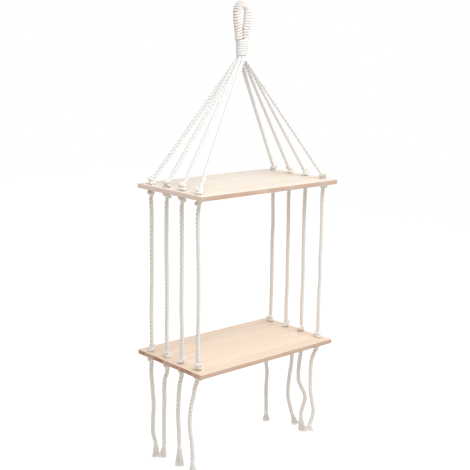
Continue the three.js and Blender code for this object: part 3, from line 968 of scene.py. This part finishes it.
def pine(name, pale, late, end_grain_and_shade_colour):
    """Planed pine: rings about each strip's own log, fine fibres, tan long edges and browner ends
    that are partly painted shade.
    """
    waver_stretch, fibre_stretch = (4.0, 22.0, 22.0), (30.0, 1500.0, 1500.0)
    late_from, late_full, late_end = 0.25, 0.93, 0.95
    late_varies, least_late, fibre_share = 0.5, 0.3, 0.5
    tone_share, darkest_tone = 0.12, 0.90
    side_on = (0.5, 0.9)
    wear_scale, stain_scale = 16.0, 95.0
    stain_share, stain_start, tone_in_stain = 0.9, -0.3, 1.2
    rough_share, least_rough, ring_relief = 0.18, 0.44, 0.4
    material, tree, shader = new_material(name)
    from_log = saved(tree, "from_log", "Vector")
    tone = saved(tree, "tone")
    across = saved(tree, "across")
    waver = noise(tree, vector(tree, "MULTIPLY", from_log, waver_stretch), 1.0, 2.0)
    distance = measure(tree, "LENGTH", vector(tree, "MULTIPLY", from_log, (0.0, 1.0, 1.0)))
    rings = figure(tree, "MULTIPLY_ADD", waver, ring_waver, figure(
        tree, "DIVIDE", distance, ring_width))
    ring = figure(tree, "FRACT", rings)
    latewood = figure(tree, "MULTIPLY", eased(tree, ring, late_from, late_full), figure(
        tree, "SUBTRACT", 1.0, eased(tree, ring, late_end, 1.0)))
    strength = node(tree, "ShaderNodeTexWhiteNoise", {
        "W": figure(tree, "FLOOR", rings)}, noise_dimensions="1D").outputs["Value"]
    fibres = noise(tree, vector(tree, "MULTIPLY", from_log, fibre_stretch), 1.0, 3.0, 0.6)
    share = figure(tree, "MULTIPLY", latewood, figure(
        tree, "MULTIPLY_ADD", strength, late_varies, least_late))
    share = figure(tree, "ADD", share, figure(
        tree, "MULTIPLY_ADD", fibres, fibre_share, -fibre_share / 2))
    colour = blended(tree, share, (*pale, 1), (*late, 1))
    shade = figure(tree, "MULTIPLY_ADD", tone, tone_share, darkest_tone)
    edge_side = figure(tree, "MINIMUM", across, figure(tree, "SUBTRACT", 1.0, across))
    seam = figure(tree, "MULTIPLY_ADD", eased(tree, edge_side, glue_share, 0.0), glue_shade,
                  shade)
    grey = node(tree, "ShaderNodeCombineXYZ", {"X": seam, "Y": seam, "Z": seam})
    colour = blended(tree, 1.0, colour, grey.outputs[0], "MULTIPLY")
    place = tree.nodes.new("ShaderNodeTexCoord").outputs
    facing = node(tree, "ShaderNodeSeparateXYZ", {
        0: vector(tree, "ABSOLUTE", place["Normal"])}).outputs
    # Tan on the long edges in patches: partly their own colour, partly painted shade on faces
    # turned from the overhead lamp
    tan_and_shade_patches = figure(tree, "ADD", noise(tree, place["Object"], wear_scale, 3.0, 0.6), least_tan)
    stains = noise(tree, place["Object"], stain_scale, 3.0, 0.6)
    # Brown on the ends in patches: end grain and stains, partly painted shade
    end_stain_and_shade = figure(tree, "ADD", figure(
        tree, "MULTIPLY_ADD", stains, stain_share, stain_start), figure(
            tree, "MULTIPLY", tone, tone_in_stain))
    for axis, strong, cover in (("Y", tan_and_shade_patches, edge_tan_and_shade), ("X", end_stain_and_shade, end_grain_and_shade_colour)):
        covered = figure(tree, "MULTIPLY", eased(tree, facing[axis], *side_on), strong)
        colour = blended(tree, covered, colour, (*cover, 1))
    # The warm patch: partly the wood's own colour, partly painted light that lifts the shade of
    # the upper board and the ropes near the lower board's left end
    from_patch = vector(tree, "SUBTRACT", place["Object"], patch_place)
    fading = measure(tree, "LENGTH", vector(tree, "MULTIPLY", from_patch, patch_fading))
    patch_and_light_share = figure(tree, "MULTIPLY", eased(tree, fading, 1.0, 0.0), patch_and_light_strength)
    colour = blended(tree, patch_and_light_share, colour, (*patch_and_light_colour, 1))
    link(tree, colour, shader.inputs["Base Color"])
    rough = figure(tree, "MULTIPLY_ADD", fibres, rough_share, least_rough)
    link(tree, rough, shader.inputs["Roughness"])
    bump = node(tree, "ShaderNodeBump", {
        "Height": figure(tree, "MULTIPLY_ADD", latewood, ring_relief, fibres),
        "Strength": 0.35, "Distance": 0.0002})
    link(tree, bump.outputs[0], shader.inputs["Normal"])
    shader.inputs["Specular IOR Level"].default_value = 0.35
    return material


blank = drilled_blank()
# Each board's pale, late and end colours. The ends' brown is partly painted shade; the lower
# board's far darker end colour is painted shade.
for tier, top, body, colours in (
    ("upper", upper_top, "upper_tier",
     ((0.90, 0.82, 0.725), (0.84, 0.70, 0.53), (0.86, 0.65, 0.56))),
    ("lower", lower_top, "lower_tier",
     ((0.96, 0.79, 0.645), (0.89, 0.67, 0.49), (0.40, 0.18, 0.115))),
):
    wood = pine(f"{tier}_pine", *colours)
    first_share, last_share = first_and_last_share[tier]
    inner_share = (1 - first_share - last_share) / (strip_count - 2)
    shares = [0, *(first_share + inner_share * i for i in range(strip_count - 1)), 1]
    for i in range(strip_count):
        back_cut = board_depth * (0.5 - shares[i]) - (half_glue_line if i else 0)
        front_cut = board_depth * (0.5 - shares[i + 1])
        front_cut += half_glue_line if i < strip_count - 1 else 0
        strip = sawn_strip(f"{tier}_board_strip_{i + 1}", blank, back_cut, front_cut, top,
                           strip_logs[tier][i], wood)
        dressed(strip, body, "pine", f"{tier}_strip_{i + 1}")


# Floor, lights and background
# A pale floor far under the shelf keeps its shadow. A wide soft lamp hangs high over the front,
# and a white world fills in from all sides.
floor_level = -1.35
floor_corners = ((-4, -4), (4, -4), (4, 6), (-4, 6))
floor_glow = 0.5
sky_light = 0.62
floor_mesh = bpy.data.meshes.new("floor")
floor_mesh.from_pydata([(x, y, floor_level) for x, y in floor_corners], [], [(0, 1, 2, 3)])
add_object("floor", floor_mesh)
floor_paint, paint_tree, paint_shader = new_material("floor_paint")
paint = paint_shader.inputs
paint["Base Color"].default_value = (0.90, 0.87, 0.84, 1)
paint["Roughness"].default_value = 0.9
paint["Emission Color"].default_value = (1, 1, 1, 1)
floor_rays = paint_tree.nodes.new("ShaderNodeLightPath").outputs
link(paint_tree, figure(paint_tree, "MULTIPLY", figure(
    paint_tree, "MAXIMUM", floor_rays["Is Camera Ray"], floor_rays["Is Glossy Ray"]),
    floor_glow), paint["Emission Strength"])
floor_mesh.materials.append(floor_paint)

lamp = bpy.data.lights.new("overhead_lamp", "AREA")
lamp.shape = "RECTANGLE"
lamp.size = 1.6
lamp.size_y = 1.4
lamp.energy = 32
lamp_holder = add_object("overhead_lamp", lamp)
lamp_holder.location = (-0.14, -1.25, 1.2)
lamp_target = Vector((0, 0, -0.4))
lamp_holder.rotation_euler = (lamp_target - lamp_holder.location).to_track_quat(
    "-Z", "Y").to_euler()

world = bpy.context.scene.world or bpy.data.worlds.new("world")
bpy.context.scene.world = world
world.use_nodes = True
sky = world.node_tree
background = sky.nodes["Background"]
rays = sky.nodes.new("ShaderNodeLightPath").outputs
seen = figure(sky, "MAXIMUM", rays["Is Camera Ray"], figure(
    sky, "MAXIMUM", rays["Is Glossy Ray"], rays["Is Transmission Ray"]))
link(sky, figure(sky, "MULTIPLY_ADD", seen, 1 - sky_light, sky_light),
     background.inputs["Strength"])
background.inputs["Color"].default_value = (1, 1, 1, 1)

bpy.context.scene.view_settings.view_transform = "Standard"
